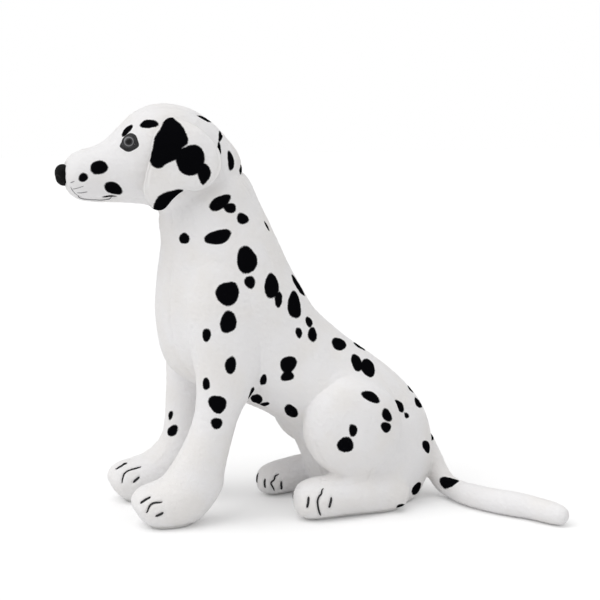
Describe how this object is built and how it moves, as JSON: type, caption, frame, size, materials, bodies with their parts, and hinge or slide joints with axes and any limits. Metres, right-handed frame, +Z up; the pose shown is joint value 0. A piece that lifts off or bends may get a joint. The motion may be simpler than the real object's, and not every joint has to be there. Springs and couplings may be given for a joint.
{
  "type": "plush dog",
  "caption": "Sitting white plush dog with black spots, long forelegs, floppy ears, a domed plastic nose and eyes, and a slim tail that lies on the floor.",
  "frame": {"origin": "centre of the flat seat, on the floor", "axes": "+Z up; the dog faces -Y; its own left side is +X"},
  "size_m": [0.2823, 0.5293, 0.4495],
  "materials": {
    "plush": "short dense plush pile, white",
    "spotted_plush": "short dense plush pile, white with printed black spots",
    "sole_plush": "short plush pile, white, flat under the paws and seat",
    "stuffing": "loose polyester fibre filling",
    "eye_plastic": "polished black",
    "nose_plastic": "matte black",
    "washer_plastic": "moulded white"
  },
  "bodies": {
    "torso": {"torso_left_panel": "spotted_plush", "torso_right_panel": "spotted_plush", "belly_gusset": "plush", "seat_panel": "sole_plush", "torso_stuffing": "stuffing"},
    "neck": {"neck_cover": "plush", "neck_stuffing": "stuffing"},
    "head": {"head_left_panel": "spotted_plush", "head_right_panel": "spotted_plush", "head_gusset": "plush", "chin_panel": "plush", "head_stuffing": "stuffing", "eye_left": "eye_plastic", "eye_right": "eye_plastic", "eye_washer_left": "washer_plastic", "eye_washer_right": "washer_plastic", "nose": "nose_plastic", "nose_washer": "washer_plastic"},
    "ear_left": {"ear_left_outer": "spotted_plush", "ear_left_lining": "plush"},
    "ear_right": {"ear_right_outer": "spotted_plush", "ear_right_lining": "plush"},
    "foreleg_left": {"foreleg_left_outer_panel": "spotted_plush", "foreleg_left_inner_panel": "plush", "foreleg_left_sole": "sole_plush", "foreleg_left_stuffing": "stuffing"},
    "foreleg_right": {"foreleg_right_outer_panel": "spotted_plush", "foreleg_right_inner_panel": "plush", "foreleg_right_sole": "sole_plush", "foreleg_right_stuffing": "stuffing"},
    "hind_leg_left": {"thigh_left_panel": "spotted_plush", "thigh_left_stuffing": "stuffing", "hind_foot_left_cover": "plush", "hind_foot_left_stuffing": "stuffing", "hind_foot_left_sole": "sole_plush"},
    "hind_leg_right": {"thigh_right_panel": "spotted_plush", "thigh_right_stuffing": "stuffing", "hind_foot_right_cover": "plush", "hind_foot_right_stuffing": "stuffing", "hind_foot_right_sole": "sole_plush"},
    "tail_base": {"tail_base_cover": "spotted_plush", "tail_base_stuffing": "stuffing"},
    "tail_tip": {"tail_tip_cover": "spotted_plush", "tail_tip_stuffing": "stuffing"}
  },
  "joints": [
    {"name": "neck_turn", "type": "hinge", "parent": "torso", "child": "neck", "pos_m": [0, -0.1795, 0.3064], "axis": [0, -0.0971, 0.9953], "range_deg": [-20, 20], "stiffness_Nm_per_rad": 0.4},
    {"name": "head_nod", "type": "hinge", "parent": "neck", "child": "head", "pos_m": [0, -0.188, 0.35], "axis": [1, 0, 0], "range_deg": [-15, 15], "stiffness_Nm_per_rad": 0.6},
    {"name": "ear_left_lift", "type": "hinge", "parent": "head", "child": "ear_left", "pos_m": [0.0295, -0.228, 0.437], "axis": [0, -1, 0], "range_deg": [0, 75], "stiffness_Nm_per_rad": 0.01},
    {"name": "ear_right_lift", "type": "hinge", "parent": "head", "child": "ear_right", "pos_m": [-0.0295, -0.228, 0.437], "axis": [0, 1, 0], "range_deg": [0, 75], "stiffness_Nm_per_rad": 0.01},
    {"name": "foreleg_left_swing", "type": "hinge", "parent": "torso", "child": "foreleg_left", "pos_m": [0.057, -0.183, 0.212], "axis": [1, 0, 0], "range_deg": [-10, 10], "stiffness_Nm_per_rad": 0.5},
    {"name": "foreleg_right_swing", "type": "hinge", "parent": "torso", "child": "foreleg_right", "pos_m": [-0.057, -0.183, 0.212], "axis": [1, 0, 0], "range_deg": [-10, 10], "stiffness_Nm_per_rad": 0.5},
    {"name": "hind_leg_left_splay", "type": "hinge", "parent": "torso", "child": "hind_leg_left", "pos_m": [0.064, 0.022, 0], "axis": [0, 0, 1], "range_deg": [0, 10], "stiffness_Nm_per_rad": 0.5},
    {"name": "hind_leg_right_splay", "type": "hinge", "parent": "torso", "child": "hind_leg_right", "pos_m": [-0.064, 0.022, 0], "axis": [0, 0, -1], "range_deg": [0, 10], "stiffness_Nm_per_rad": 0.5},
    {"name": "tail_swing", "type": "hinge", "parent": "torso", "child": "tail_base", "pos_m": [0.007, 0.07, 0.045], "axis": [0, 0, 1], "range_deg": [-10, 55], "stiffness_Nm_per_rad": 0.02},
    {"name": "tail_tip_bend", "type": "hinge", "parent": "tail_base", "child": "tail_tip", "pos_m": [0.111, 0.114, 0.012], "axis": [0, 0, 1], "range_deg": [-30, 30], "stiffness_Nm_per_rad": 0.01}
  ]
}
